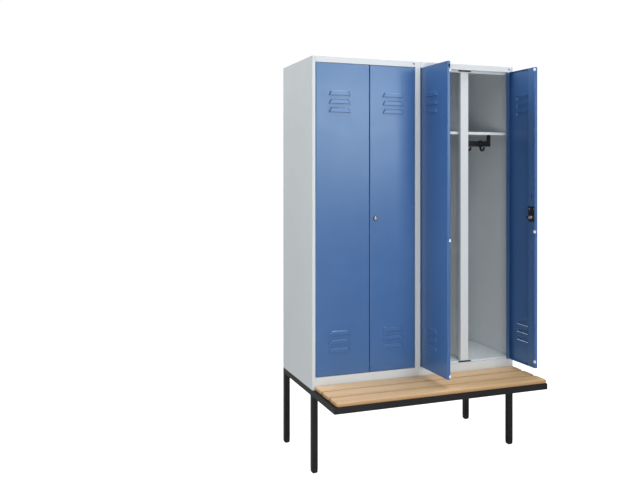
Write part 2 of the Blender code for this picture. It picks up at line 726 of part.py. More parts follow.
def side_frame(name, edge, inward, black):
    """A side rail from the bench's front to the rear, with two legs, welded up from hollow square tube."""
    across = (edge, edge + inward * TUBE_WIDTH)
    mitre = GAP * math.sqrt(2)
    plan = (
        (across[0], BENCH_FRONT + mitre),
        (across[1], BENCH_FRONT + TUBE_WIDTH + mitre),
        (across[1], REAR),
        (across[0], REAR),
    )
    shape = bmesh.new()
    add_prism(shape, plan, "Z", TUBE_BOTTOM, BASE_HEIGHT)
    frame = new_object(name, shape, black)
    legs = leg_spans()
    solid_legs = [(across, span, (FOOT_HEIGHT, TUBE_BOTTOM + TUBE_WALL)) for span in legs]
    combine(frame, "UNION", boxes(*solid_legs))
    within = (edge + inward * TUBE_WALL, edge + inward * (TUBE_WIDTH - TUBE_WALL))
    rail_y = (BENCH_FRONT - OVERRUN, REAR - TUBE_WALL)
    rail_z = (TUBE_BOTTOM + TUBE_WALL, BASE_HEIGHT - TUBE_WALL)
    leg_z = (FOOT_HEIGHT - OVERRUN, BASE_HEIGHT - TUBE_WIDTH / 2)
    leg_bores = [(within, (low + TUBE_WALL, high - TUBE_WALL), leg_z) for low, high in legs]
    combine(frame, "DIFFERENCE", boxes((within, rail_y, rail_z)), boxes(*leg_bores))


def leg_spans():
    """Where the front and rear legs stand, from front to back."""
    return ((FRONT, FRONT + TUBE_WIDTH), (REAR - TUBE_WIDTH, REAR))


def cross_rails(black):
    """The mitred rail under the bench's front edge and the rail between the rear legs."""
    plan = (
        (LEFT, BENCH_FRONT),
        (RIGHT, BENCH_FRONT),
        (RIGHT - TUBE_WIDTH, BENCH_FRONT + TUBE_WIDTH),
        (LEFT + TUBE_WIDTH, BENCH_FRONT + TUBE_WIDTH),
    )
    shape = bmesh.new()
    add_prism(shape, plan, "Z", TUBE_BOTTOM, BASE_HEIGHT)
    front = new_object("base_front_rail", shape, black)
    reach = LOCKER_WIDTH / 2 + OVERRUN
    hollow_z = (TUBE_BOTTOM + TUBE_WALL, BASE_HEIGHT - TUBE_WALL)
    front_y = (BENCH_FRONT + TUBE_WALL, BENCH_FRONT + TUBE_WIDTH - TUBE_WALL)
    combine(front, "DIFFERENCE", boxes(((-reach, reach), front_y, hollow_z)))

    x = (LEFT + TUBE_WIDTH + GAP, RIGHT - TUBE_WIDTH - GAP)
    rear_y = (REAR - TUBE_WIDTH, REAR)
    rear = new_object("base_rear_rail", boxes((x, rear_y, (TUBE_BOTTOM, BASE_HEIGHT))), black)
    hollow_y = (rear_y[0] + TUBE_WALL, rear_y[1] - TUBE_WALL)
    combine(rear, "DIFFERENCE", boxes(((-reach, reach), hollow_y, hollow_z)))


def feet(plastic):
    """A plastic foot under each leg, rounded below and plugged into the tube above."""
    half = TUBE_WIDTH / 2
    plug = half - TUBE_WALL - GAP
    top = FOOT_HEIGHT - GAP
    turns = [math.pi / 2 * i / FOOT_ROUND_STEPS for i in range(FOOT_ROUND_STEPS + 1)]
    levels = [
        (FOOT_ROUND * (1 - math.cos(turn)), half - FOOT_ROUND * (1 - math.sin(turn))) for turn in turns
    ]
    levels += [(top, half), (top, plug), (top + FOOT_PLUG_HEIGHT, plug)]
    for side_name, x in (("left", LEFT + half), ("right", RIGHT - half)):
        for end_name, span in zip(("front", "rear"), leg_spans()):
            y = sum(span) / 2
            sections = [
                [(x - r, y - r, z), (x + r, y - r, z), (x + r, y + r, z), (x - r, y + r, z)]
                for z, r in levels
            ]
            shape = bmesh.new()
            add_loft(shape, sections)
            new_object(f"foot_{end_name}_{side_name}", shape, plastic)


def bench_slats(beech):
    """Three rounded slats laid across the side rails in front of the cabinet, their corners eased."""
    front = BENCH_FRONT + SLAT_FRONT_INSET
    back = FRONT - GAP
    width = (back - front - SLAT_SPACING * (SLAT_COUNT - 1)) / SLAT_COUNT
    low = BASE_HEIGHT + GAP
    for index in range(SLAT_COUNT):
        start = front + index * (width + SLAT_SPACING)
        sections = []
        for along, inset in slat_insets(LEFT + SLAT_LEFT_INSET, RIGHT - SLAT_RIGHT_INSET):
            outline = rounded_outline(start + inset, start + width - inset, low, low + SLAT_THICKNESS)
            sections.append([place("X", along, u, v) for u, v in outline])
        shape = bmesh.new()
        add_loft(shape, sections)
        new_object(f"bench_slat_{index + 1}", shape, beech)


def slat_insets(low, high):
    """Places along a slat, each with how far its edges are drawn in there."""
    turns = [math.pi / 2 * i / SLAT_CORNER_STEPS for i in range(SLAT_CORNER_STEPS + 1)]
    arc = [(SLAT_CORNER_RADIUS * (1 - math.cos(t)), SLAT_CORNER_RADIUS * (1 - math.sin(t))) for t in turns]
    near = [(low + along, inset) for along, inset in arc]
    return near + [(high - along, inset) for along, inset in arc[::-1]]


def rounded_outline(low_u, high_u, low_v, high_v):
    """A rectangle with its corners rounded like a planed slat."""
    corners = (
        (high_u - SLAT_ROUND, high_v - SLAT_ROUND),
        (low_u + SLAT_ROUND, high_v - SLAT_ROUND),
        (low_u + SLAT_ROUND, low_v + SLAT_ROUND),
        (high_u - SLAT_ROUND, low_v + SLAT_ROUND),
    )
    outline = []
    for quarter, (u, v) in enumerate(corners):
        for step in range(SLAT_ROUND_STEPS + 1):
            turn = math.pi / 2 * (quarter + step / SLAT_ROUND_STEPS)
            outline.append((u + SLAT_ROUND * math.cos(turn), v + SLAT_ROUND * math.sin(turn)))
    return outline


def build():
    """Makes the whole locker."""
    clear_scene()
    steel = make_material("light_grey_steel", *LIGHT_GREY_STEEL)
    blue = make_material("blue_steel", *BLUE_STEEL)
    black_steel = make_material("black_steel", *BLACK_STEEL)
    plastic = make_material("black_plastic", *BLACK_PLASTIC)
    beech = make_material("beech", *BEECH)
    nickel = make_material("nickel", *NICKEL)
    zinc = make_material("zinc", *ZINC)

    side_panel("left_side", LEFT, 1, steel)
    side_panel("right_side", RIGHT, -1, steel)
    middle_wall(steel)
    floor_panel(steel)
    top_panel(steel)
    back_panel(steel)
    for number, centre in enumerate(BAY_CENTRES, start=1):
        compartment_middle(number, centre, steel, plastic)
    hook_mesh = hook_shape(plastic)
    for number, (low, high) in enumerate(HALVES, start=1):
        hat_shelf(number, low, high, steel)
        coat_rail(number, (low + high) / 2, plastic)
        coat_hooks(number, (low + high) / 2, hook_mesh)
    for number in range(1, 5):
        door(number, blue, plastic, nickel, zinc)
    side_frame("base_left_frame", LEFT, 1, black_steel)
    side_frame("base_right_frame", RIGHT, -1, black_steel)
    cross_rails(black_steel)
    feet(plastic)
    bench_slats(beech)
    bpy.context.view_layer.update()


build()
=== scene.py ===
"""Looks of a clean and dirty clothes locker: two bays of two compartments on a bench frame."""

import json
import math

import bmesh
import bpy
from mathutils import Matrix, Vector


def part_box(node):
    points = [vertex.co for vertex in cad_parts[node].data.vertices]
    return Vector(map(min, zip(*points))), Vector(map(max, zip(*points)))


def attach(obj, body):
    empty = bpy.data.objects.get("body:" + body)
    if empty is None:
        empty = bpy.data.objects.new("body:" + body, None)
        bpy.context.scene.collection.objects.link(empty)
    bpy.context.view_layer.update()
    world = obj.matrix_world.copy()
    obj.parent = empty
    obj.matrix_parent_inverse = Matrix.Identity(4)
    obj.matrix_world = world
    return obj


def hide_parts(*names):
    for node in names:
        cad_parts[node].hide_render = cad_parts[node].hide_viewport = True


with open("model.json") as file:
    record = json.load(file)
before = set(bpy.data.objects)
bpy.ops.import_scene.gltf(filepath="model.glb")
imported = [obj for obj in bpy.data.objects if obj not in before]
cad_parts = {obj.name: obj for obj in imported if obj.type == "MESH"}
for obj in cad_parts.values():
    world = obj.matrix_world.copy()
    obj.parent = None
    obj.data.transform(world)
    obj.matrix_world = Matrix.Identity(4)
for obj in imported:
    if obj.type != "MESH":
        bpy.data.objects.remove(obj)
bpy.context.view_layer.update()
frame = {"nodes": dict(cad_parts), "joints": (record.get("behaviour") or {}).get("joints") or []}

# How often things repeat; all lengths below are in metres
PAIRS = (1, 2)
COMPARTMENTS = range(1, 5)
HOOKS = range(1, 4)

# Sheet steel; a face narrower than BROAD_FACE is a cut edge, not a side of a fold
SHEET = 0.001
FOLD_OUTSIDE = 0.0022
FOLD_INSIDE = 0.0012
FOLD_STEPS = 4
FOLD_ANGLE = math.radians(40)
BROAD_FACE = 0.0018
LEAST_PERIMETER = 0.000001

# Broken edges, and the weight that keeps broad faces flat beside them
CUT_EDGE = 0.00025
EDGE_STEPS = 2
EDGE_ANGLE = math.radians(32)
FLAT_WEIGHT = 80
ROUND_STEPS = 4

# Corners joined and flat faces made whole, in a solid's copy and after a cut
SOLID_WELD = 0.00001
SOLID_FLAT = math.radians(0.4)
CUT_WELD = 0.000005
CUT_FLAT = math.radians(0.3)

# Sides of a turned piece
TURNED_SIDES = 40

# Doors, each in its own frame: x from the hinge line, y into the cabinet when shut, z from the bottom edge
LEFT_HUNG = 1
RIGHT_HUNG = -1
DOOR_SIDES = (LEFT_HUNG, RIGHT_HUNG, LEFT_HUNG, RIGHT_HUNG)
DOOR_REACHES = {LEFT_HUNG: 0.286, RIGHT_HUNG: 0.252}
DOOR_HEIGHT = 1.5837
DOOR_FACE = -0.0045
DOOR_BACK = 0.012
THROUGH_FACE = (DOOR_FACE - SHEET, DOOR_FACE + 2 * SHEET)
HINGE_EDGE = 0.006
HINGE_HEM = 0.030
FREE_HEM = 0.034

# The window in the free edge of the left-hung doors, measured down from the door's top
WINDOW_TOP = 0.015
WINDOW_BOTTOM = 0.030

# Hinge pins
PIN_RADIUS = 0.0025
PIN_REACH = 0.010
PIN_SIDES = 24
PIN_EDGE = 0.0005

# Louvres
LOUVRE_MIDDLE = 0.122
LOUVRE_WIDTH = 0.122
LOUVRE_HEIGHT = 0.024
LOUVRE_DEPTH = 0.006
LOUVRE_PITCH = 0.043
LOUVRE_COUNT = 3
UPPER_GROUP = DOOR_HEIGHT - 0.193
LOWER_GROUP = 0.172
LOUVRE_SLANT = 0.012
LOUVRE_RUN = 0.0055

# A louvre's grid: its points, how closely they crowd to the rim, how softly its slopes meet, how deep its
# rim sits, and the part of a width that lies square to a slanted end
GRID_ACROSS = 61
GRID_UP = 21
GRID_CROWDING = 1.7
SLOPE_BLEND = 0.004
RIM_SUNK = 0.00015
SQUARE_TO_END = 0.9

# How far the slit behind a louvre stays inside the louvre's rim
SLIT_FOOT = 0.0009
SLIT_FOOT_END = 0.0016
SLIT_TOP = 0.0012
SLIT_TOP_END = 0.0006

# White soft stops set in the corner of each door's free edge, at other levels on the left-hung doors
STOP_WIDTH = 0.0125
STOP_DEPTH = 0.0105
STOP_HEIGHT = 0.0145
STOP_EDGE = 0.0024
STOP_PAST_EDGE = 0.0013
STOP_PAST_HEM = 0.0028
STOP_LEVELS = {LEFT_HUNG: (0.0135, 0.690, 1.537), RIGHT_HUNG: (0.034, 0.717, 1.5705)}

# Locks and what is cut for them in the right-hung doors; levels are heights on the door
LOCK_REACH = 0.22175
LOCK_LEVEL = 0.792
LOCK_HOLE_RADIUS = 0.0083
CASE_HALF_WIDTH = 0.027
CASE_BOTTOM = LOCK_LEVEL - 0.023
CASE_TOP = LOCK_LEVEL + 0.058
CASE_BACK = 0.0115
LATCH_SLOT_ACROSS = (0.2195, 0.2275)
LATCH_SLOT_LEVELS = (0.893, 0.9125)
BARREL_END = 0.0240
CAM_BACK = 0.0273

# Turned lock parts as (y, radius) pairs: y from the collar's seat outside, and from the case's back inside
SEAT_GAP = 0.0003
CORE_RISE = 0.0050
NECK_RADIUS = 0.0080
SLEEVE_RADIUS = 0.0087
GROOVE_RADIUS = 0.0082
COLLAR_OUTLINE = ((-0.0046, 0.0098), (-0.0036, 0.0110), (0, 0.0110), (0, NECK_RADIUS))
COLLAR_BORE = ((-0.0100, 0.0084), (-0.0006, 0.0084))
CORE_OUTLINE = ((-CORE_RISE, 0.0074), (-0.0043, 0.0082), (-0.0006, 0.0082))
CORE_DISH = ((-0.0060, 0.0046), (-0.0046, 0.0046))
SLEEVE_OUTLINE = ((-SHEET, GROOVE_RADIUS), (0.0012, SLEEVE_RADIUS), (0.0060, SLEEVE_RADIUS),
                  (0.0066, GROOVE_RADIUS), (0.0082, GROOVE_RADIUS), (0.0088, SLEEVE_RADIUS))
KEY_SLOT_WIDTH = 0.0012
KEY_SLOT_HEIGHT = 0.0084
KEY_SLOT_DEPTH = 0.004

# Edges of the lock's parts
COLLAR_EDGE = 0.0004
CORE_EDGE = 0.0002
SLEEVE_EDGE = 0.0003
CAM_EDGE = 0.0006
CAM_STEPS = 3
CASE_EDGE = 0.0024
CAM_SCREW_EDGE = 0.0002
CASE_SCREW_EDGE = 0.00015

# Screws: the head's outline and its cross recess as shares of the head's rise and radius, then the sizes
# of both kinds and the places of the case's screws, beside and above the lock's axis
SCREW_OUTLINE = ((0, 1), (0.45, 1), (0.85, 0.8), (1, 0.45))
SCREW_SIDES = 24
RECESS_ARM = 0.6
RECESS_HALF_WIDTH = 0.13
RECESS_FLOOR = 0.3
CAM_SCREW_RADIUS = 0.0062
CAM_SCREW_RISE = 0.0016
CASE_SCREW_RADIUS = 0.0034
CASE_SCREW_RISE = 0.0009
CASE_SCREW_SIDE = 0.018
CASE_SCREW_ABOVE = 0.044

# Oval pressings in the top rail, over the hinges of the right-hung doors
OVAL_WIDTH = 0.014
OVAL_HEIGHT = 0.006
OVAL_LEVEL = 2.087

# Edges of the other mouldings and of the bench frame's tube
FITTING_EDGE = 0.0008
HOOK_EDGE = 0.0019
TUBE_EDGE = 0.0025

# Feet: the lower edges are swept round, and the corners open out a little as the foot narrows
FOOT_ROUND = 0.012
FOOT_ROUND_STEPS = 10
FOOT_CORNER = 0.0028
FOOT_CORNER_STEPS = 6
FOOT_CORNER_GROWTH = 0.25
FOOT_TOP = 0.0247
FOOT_EDGE = 0.0003

# Bench
SLAT_COUNT = 3
SLAT_GAP = 0.010
SLAT_ROUND = 0.008
SLAT_ROUND_STEPS = 5
SLAT_CORNER = 0.016
SLAT_CORNER_STEPS = 8
BENCH_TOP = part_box("bench_slat_1")[1].z

# Finishes: the values of a pattern between which its colour fades in, and the levels between which the
# painted shade on a slat's flanks and rounded edges fades into its top
DUST_BAND = (0.3, 0.72)
PATCH_BAND = (0.35, 0.7)
FIGURE_BAND = (0.32, 0.68)
FIBRE_BAND = (0.45, 0.8)
FLECK_BAND = (0.12, 0.26)
FLANK_SHADE_BAND = (BENCH_TOP - 0.0024, BENCH_TOP - 0.0002)

# Patterns of powder coat, then of mouldings and plated metal, in cells to a metre
BROAD_CELLS = 3.1
CLOUD_CELLS = 14
RIPPLE_CELLS = 90
PEEL_CELLS = 420
BLOTCH_CELLS = 30
SPARK_CELLS = 900
PATCH_CELLS = 160

# Beech patterns in cells to a metre along and across the grain, and their shift from board to board
FIGURE_CELLS = (1.4, 26.0, 26.0)
FIBRE_CELLS = (14.0, 520.0, 520.0)
FLECK_CELLS = (75.0, 640.0, 640.0)
BOARD_SHIFT = (3.7, 1.3, 5.1)

# The sockets of a Mix node that stand for its colours
MIX_FACTOR = 0
MIX_FIRST = 6
MIX_SECOND = 7
MIX_RESULT = 2

# Studio: the floor and sky as the camera sees them and as they light the locker
FLOOR_REACH = 30
FLOOR_GLOW = 0.06
FLOOR_SEEN = 1.0
SKY_LIGHT = 0.16
SKY_SEEN = 1.02

# Softboxes: name, place, target, width and height, watts
SOFTBOXES = (
    ("key_softbox", (1.35, -4.4, 2.25), (-0.3, 0, 1.5), (1.5, 1.1), 51),
    ("high_softbox", (-0.3, -3.2, 4.4), (0, -0.1, 0.7), (2.6, 1.8), 52),
    ("left_softbox", (-4.4, 0.8, 3.6), (-0.5, 0, 1.3), (2.0, 2.0), 134),
    ("low_softbox", (-1.6, -4.0, 0.7), (0.2, 0, 1.2), (2.0, 1.0), 63),
    ("bench_softbox", (0.6, -0.5, 4.6), (0.4, -0.3, 0.4), (2.0, 0.8), 92),
)

# Camera, level, as solved from the photograph; sensor and lens in millimetres, turn in degrees
SENSOR_WIDTH = 36
CAMERA_LENS = 42.95
CAMERA_SHIFT = (-0.0297, -0.102)
CAMERA_PLACE = (-1.839, -3.7125, 1.502)
CAMERA_TURN = -21.04


class Flow:
    """An output socket that adds Math nodes as it is used in sums."""

    def __init__(self, bench, socket):
        self.bench = bench
        self.socket = socket

    def math(self, operation, *terms):
        """This socket and any more terms through one Math node."""
        return self.bench.node("ShaderNodeMath", {"operation": operation}, dict(enumerate((self, *terms))))

    def __add__(self, other):
        return self.math("ADD", other)

    def __sub__(self, other):
        return self.math("SUBTRACT", other)

    def __mul__(self, other):
        return self.math("MULTIPLY", other)

    def __truediv__(self, other):
        return self.math("DIVIDE", other)

    def __pow__(self, other):
        return self.math("POWER", other)

    def __rsub__(self, other):
        return self.bench.node("ShaderNodeMath", {"operation": "SUBTRACT"}, {0: other, 1: self})

    __radd__ = __add__
    __rmul__ = __mul__

    def step(self, low, high):
        """0 below low, 1 above high, with a soft rise between."""
        names = {"Value": self, "From Min": low, "From Max": high}
        return self.bench.node("ShaderNodeMapRange", {"interpolation_type": "SMOOTHSTEP"}, names)

    def swing(self, spread):
        """A pattern's rise and fall about its middle value."""
        return (self - 0.5) * spread


class Bench:
    """A node tree and the method that adds its nodes, with short forms for the commonest."""

    def __init__(self, tree):
        self.tree = tree

    def node(self, kind, settings=None, sockets=None, out=0):
        """Adds a node, joins or sets its inputs, and gives one output, or a list for a tuple of names."""
        made = self.tree.nodes.new(kind)
        for name, value in (settings or {}).items():
            setattr(made, name, value)
        for key, value in (sockets or {}).items():
            if isinstance(value, Flow):
                self.tree.links.new(value.socket, made.inputs[key])
            else:
                made.inputs[key].default_value = value
        if isinstance(out, tuple):
            return [Flow(self, made.outputs[name]) for name in out]
        return Flow(self, made.outputs[out])

    def mix(self, factor, first, second):
        """Two colours mixed by a factor."""
        sockets = {MIX_FACTOR: factor, MIX_FIRST: colour(first), MIX_SECOND: colour(second)}
        return self.node("ShaderNodeMix", {"data_type": "RGBA"}, sockets, out=MIX_RESULT)

    def noise(self, where, scale, detail=2, roughness=0.5, **more):
        """Noise of so many cells to a unit."""
        sockets = {"Vector": where, "Scale": scale, "Detail": detail, "Roughness": roughness, **more}
        return self.node("ShaderNodeTexNoise", None, sockets)

    def bump(self, height, strength, depth):
        """A normal that follows a pattern's height, its depth in metres."""
        sockets = {"Strength": strength, "Distance": depth, "Height": height}
        return self.node("ShaderNodeBump", None, sockets)


def colour(value):
    """A plain colour with its alpha added; a socket stays as it is."""
    return (*value, 1) if isinstance(value, tuple) and len(value) == 3 else value


def grey(value):
    """A grey of one linear value."""
    return (value, value, value)


def srgb(*parts):
    """A colour from its 0 to 255 display values."""
    return tuple((p / 255 / 12.92) if p < 10.31 else ((p / 255 + 0.055) / 1.055) ** 2.4 for p in parts)


def new_finish(name):
    """A material with its bench, its shader and the place on the object in metres."""
    material = bpy.data.materials.new(name)
    material.use_nodes = True
    bench = Bench(material.node_tree)
    shader = next(n for n in material.node_tree.nodes if n.type == "BSDF_PRINCIPLED")
    where = bench.node("ShaderNodeTexCoord", out="Object")
    return material, bench, shader, where


def drive(bench, shader, **values):
    """Joins flows to the shader's sockets, and sets constants on them."""
    for name, value in values.items():
        socket = shader.inputs[name.replace("_", " ")]
        if isinstance(value, Flow):
            bench.tree.links.new(value.socket, socket)
        else:
            socket.default_value = value


def powder_coat(name, shade, pale, roughness, grain, shine=0.5, tint=(1, 1, 1)):
    """Baked powder coat: a fine orange peel, a slightly uneven gloss and a faint film of dust."""
    material, bench, shader, where = new_finish(name)
    broad = bench.noise(where, BROAD_CELLS, detail=3)
    peel = bench.noise(where, PEEL_CELLS, detail=2, roughness=0.6)
    ripple = bench.noise(where, RIPPLE_CELLS, detail=1)
    cloud = bench.noise(where, CLOUD_CELLS, detail=4, roughness=0.65)
    dust = (broad * 0.6 + cloud * 0.4).step(*DUST_BAND)
    drive(bench, shader,
          Base_Color=bench.mix(dust, shade, pale),
          Roughness=roughness + cloud.swing(0.10) + peel.swing(0.06),
          Specular_IOR_Level=shine,
          Specular_Tint=(*tint, 1),
          Normal=bench.bump(peel * 0.5 + ripple * 0.9, strength=grain, depth=0.0004))
    return material


def moulded(name, shade, pale, roughness):
    """Moulded plastic or rubber with a fine spark texture."""
    material, bench, shader, where = new_finish(name)
    grain = bench.noise(where, SPARK_CELLS, detail=1)
    cloud = bench.noise(where, BLOTCH_CELLS, detail=3)
    drive(bench, shader,
          Base_Color=bench.mix(cloud.step(*PATCH_BAND), shade, pale),
          Roughness=roughness + cloud.swing(0.15),
          Normal=bench.bump(grain, strength=0.25, depth=0.0002))
    return material


def plated_metal(name, shade, dull, roughness, mark_cells):
    """Plated steel or die-cast zinc, with fine turning marks and duller patches."""
    material, bench, shader, where = new_finish(name)
    marks = bench.noise(where, mark_cells, detail=3)
    patches = bench.noise(where, PATCH_CELLS, detail=3)
    drive(bench, shader,
          Base_Color=bench.mix(patches.step(*PATCH_BAND), shade, dull),
          Metallic=1.0,
          Roughness=roughness + marks.swing(0.12),
          Normal=bench.bump(marks, strength=0.15, depth=0.0001))
    return material


def beech():
    """Lacquered beech: long soft figure, darker flecks, a tint for each board, and painted shade on the
    flanks.
    """
    material, bench, shader, where = new_finish("beech")
    board = bench.node("ShaderNodeAttribute", {"attribute_name": "board"}, out="Fac")
    shift = bench.node("ShaderNodeCombineXYZ", None, {
        axis: board * share for axis, share in zip("XYZ", BOARD_SHIFT)})
    moved = bench.node("ShaderNodeVectorMath", {"operation": "ADD"}, {0: where, 1: shift})
    along_figure, along_fibres, along_flecks = (
        bench.node("ShaderNodeMapping", None, {"Vector": moved, "Scale": cells})
        for cells in (FIGURE_CELLS, FIBRE_CELLS, FLECK_CELLS))
    figure = bench.noise(along_figure, scale=1.0, detail=5, roughness=0.55, Distortion=0.6)
    fibre = bench.noise(along_fibres, scale=1.0, detail=3)
    fleck = bench.node("ShaderNodeTexVoronoi", None, {"Vector": along_flecks, "Scale": 1.0}, out="Distance")
    # Painted shade: below a slat's top face, its flanks and rounded edges are darkened in the base colour
    height = bench.node("ShaderNodeSeparateXYZ", None, {0: where}, out="Z")
    painted_flank_shade = 1 - height.step(*FLANK_SHADE_BAND)
    wood = bench.mix(figure.step(*FIGURE_BAND), srgb(221, 188, 143), srgb(205, 169, 122))
    layers = (
        (fibre.step(*FIBRE_BAND), 0.35, srgb(182, 140, 95)),
        (1 - fleck.step(*FLECK_BAND), 0.55, srgb(160, 116, 74)),
        (board, 0.25, srgb(224, 190, 150)),
        # painted shade on the slats' flanks and rounded edges
        (painted_flank_shade, 0.66, srgb(152, 113, 73)),
    )
    for pattern, strength, tone in layers:
        wood = bench.mix(pattern * strength, wood, tone)
    drive(bench, shader,
          Base_Color=wood,
          Roughness=0.34 + fibre * 0.14,
          Normal=bench.bump(fibre - fleck * 0.3, strength=0.22, depth=0.0002),
          Coat_Weight=0.08,
          Coat_Roughness=0.25)
    return material


LIGHT_GREY = powder_coat("light_grey_powder_coat", srgb(202, 208, 211), srgb(207, 212, 215),
                         roughness=0.42, grain=0.16)
BLUE = powder_coat("blue_powder_coat", srgb(53, 93, 149), srgb(57, 97, 153),
                   roughness=0.35, grain=0.14, shine=0.92, tint=(0.76, 0.95, 1.0))
NEAR_BLACK = powder_coat("near_black_powder_coat", srgb(24, 26, 28), srgb(28, 30, 32),
                         roughness=0.42, grain=0.16, shine=0.3)
PLASTIC = moulded("black_moulded_plastic", srgb(14, 16, 19), srgb(21, 23, 27), roughness=0.45)
NICKEL = plated_metal("nickel_plate", srgb(202, 200, 194), srgb(176, 173, 166),
                      roughness=0.26, mark_cells=700)
ZINC = plated_metal("zinc_cam", srgb(232, 216, 222), srgb(206, 188, 196),
                    roughness=0.42, mark_cells=300)
BEECH = beech()
WHITE_RUBBER = moulded("white_rubber", srgb(212, 224, 236), srgb(222, 232, 242), roughness=0.5)


def made_whole(shape, weld, flat):
    """Joins doubled corners, and faces that lie flat together."""
    bmesh.ops.remove_doubles(shape, verts=shape.verts, dist=weld)
    bmesh.ops.dissolve_limit(shape, angle_limit=flat, verts=shape.verts, edges=shape.edges)
    return shape


def solid_of(node):
    """A working copy of a solid."""
    shape = bmesh.new()
    shape.from_mesh(frame["nodes"][node].data)
    shape.transform(frame["nodes"][node].matrix_world)
    return made_whole(shape, SOLID_WELD, SOLID_FLAT)


def breadth(face):
    """About how broad a face is across its narrow way."""
    return 2 * face.calc_area() / max(face.calc_perimeter(), LEAST_PERIMETER)


def rounded(shape, edges, radius):
    """A shape with some of its edges rounded."""
    bmesh.ops.bevel(shape, geom=edges, offset=radius, offset_type="OFFSET", segments=FOLD_STEPS,
                    profile=0.5, affect="EDGES", clamp_overlap=True)
    return shape


def round_folds(shape):
    """Rounds each bend between two broad faces, with the larger radius outside."""
    for radius, sign in ((FOLD_OUTSIDE, 1), (FOLD_INSIDE, -1)):
        folds = []
        for edge in shape.edges:
            if len(edge.link_faces) != 2 or min(breadth(face) for face in edge.link_faces) < BROAD_FACE:
                continue
            if edge.calc_face_angle_signed(0) * sign > FOLD_ANGLE:
                folds.append(edge)
        rounded(shape, folds, radius)
    return shape


def block(*span):
    """A box from its x, y and z limits, given in either order."""
    shape = bmesh.new()
    limits = [sorted(pair) for pair in span]
    middle = Vector([(low + high) / 2 for low, high in limits])
    size = Vector([high - low for low, high in limits])
    bmesh.ops.create_cube(shape, size=1, matrix=Matrix.Translation(middle) @ Matrix.Diagonal((*size, 1)))
    return shape


def rounded_block(radius, *span):
    """A box with all its edges rounded, as a pressed pan's corners are."""
    shape = block(*span)
    return rounded(shape, shape.edges[:], radius)


def skinned(shape, rings):
    """Closes a shape over its rings of points, with a flat face at each end."""
    for lower, upper in zip(rings, rings[1:]):
        for i in range(len(lower)):
            shape.faces.new((lower[i - 1], lower[i], upper[i], upper[i - 1]))
    shape.faces.new(rings[0][::-1])
    shape.faces.new(rings[-1])
    bmesh.ops.recalc_face_normals(shape, faces=shape.faces)
    return shape


def turned(profile, centre=(0, 0, 0), sides=TURNED_SIDES):
    """A round piece about the y axis, from (y, radius) pairs."""
    shape = bmesh.new()
    turns = [2 * math.pi * i / sides for i in range(sides)]
    rings = []
    for y, radius in profile:
        spots = (Vector((radius * math.cos(turn), y, radius * math.sin(turn))) for turn in turns)
        rings.append([shape.verts.new(Vector(centre) + spot) for spot in spots])
    return skinned(shape, rings)


def as_object(shape):
    """A shape put in the scene as an object of its own."""
    mesh = bpy.data.meshes.new("blank")
    shape.to_mesh(mesh)
    shape.free()
    thing = bpy.data.objects.new("blank", mesh)
    bpy.context.scene.collection.objects.link(thing)
    return thing


def modified_mesh(thing):
    """The mesh of an object after its modifiers."""
    return bpy.data.meshes.new_from_object(thing.evaluated_get(bpy.context.evaluated_depsgraph_get()))


def carved(shape, *cutters):
    """A shape after its cuts."""
    thing = as_object(shape)
    tools = [as_object(cutter) for cutter in cutters]
    for tool in tools:
        cut = thing.modifiers.new("cut", "BOOLEAN")
        cut.operation = "DIFFERENCE"
        cut.solver = "EXACT"
        cut.object = tool
    result = bmesh.new()
    result.from_mesh(modified_mesh(thing))
    for spare in (thing, *tools):
        bpy.data.objects.remove(spare)
    return made_whole(result, CUT_WELD, CUT_FLAT)


def grown(name, tree, sizes, start=None):
    """The shape that a geometry tree makes from its named sizes."""
    thing = as_object(bmesh.new() if start is None else start)
    grow = thing.modifiers.new(name, "NODES")
    grow.node_group = tree
    sockets = {item.name: item.identifier for item in tree.interface.items_tree if item.in_out == "INPUT"}
    for label, value in sizes.items():
        grow[sockets[label]] = value
    shape = bmesh.new()
    shape.from_mesh(modified_mesh(thing))
    bpy.data.objects.remove(thing)
    return shape


def new_tree(name, lengths=(), counts=()):
    """A geometry tree with its named inputs; gives the bench and the inputs."""
    tree = bpy.data.node_groups.new(name, "GeometryNodeTree")
    tree.interface.new_socket("Geometry", in_out="INPUT", socket_type="NodeSocketGeometry")
    tree.interface.new_socket("Geometry", in_out="OUTPUT", socket_type="NodeSocketGeometry")
    for label in lengths:
        tree.interface.new_socket(label, in_out="INPUT", socket_type="NodeSocketFloat")
    for label in counts:
        tree.interface.new_socket(label, in_out="INPUT", socket_type="NodeSocketInt")
    bench = Bench(tree)
    names = ("Geometry", *lengths, *counts)
    inputs = dict(zip(names, bench.node("NodeGroupInput", out=names)))
    return bench, inputs


def close_tree(bench, shape, material):
    """Ends a tree: its instances made real, its material set."""
    real = bench.node("GeometryNodeRealizeInstances", None, {"Geometry": shape})
    coated = bench.node("GeometryNodeSetMaterial", None, {"Geometry": real, "Material": material})
    bench.node("NodeGroupOutput", None, {"Geometry": coated}, out=())
    return bench.tree


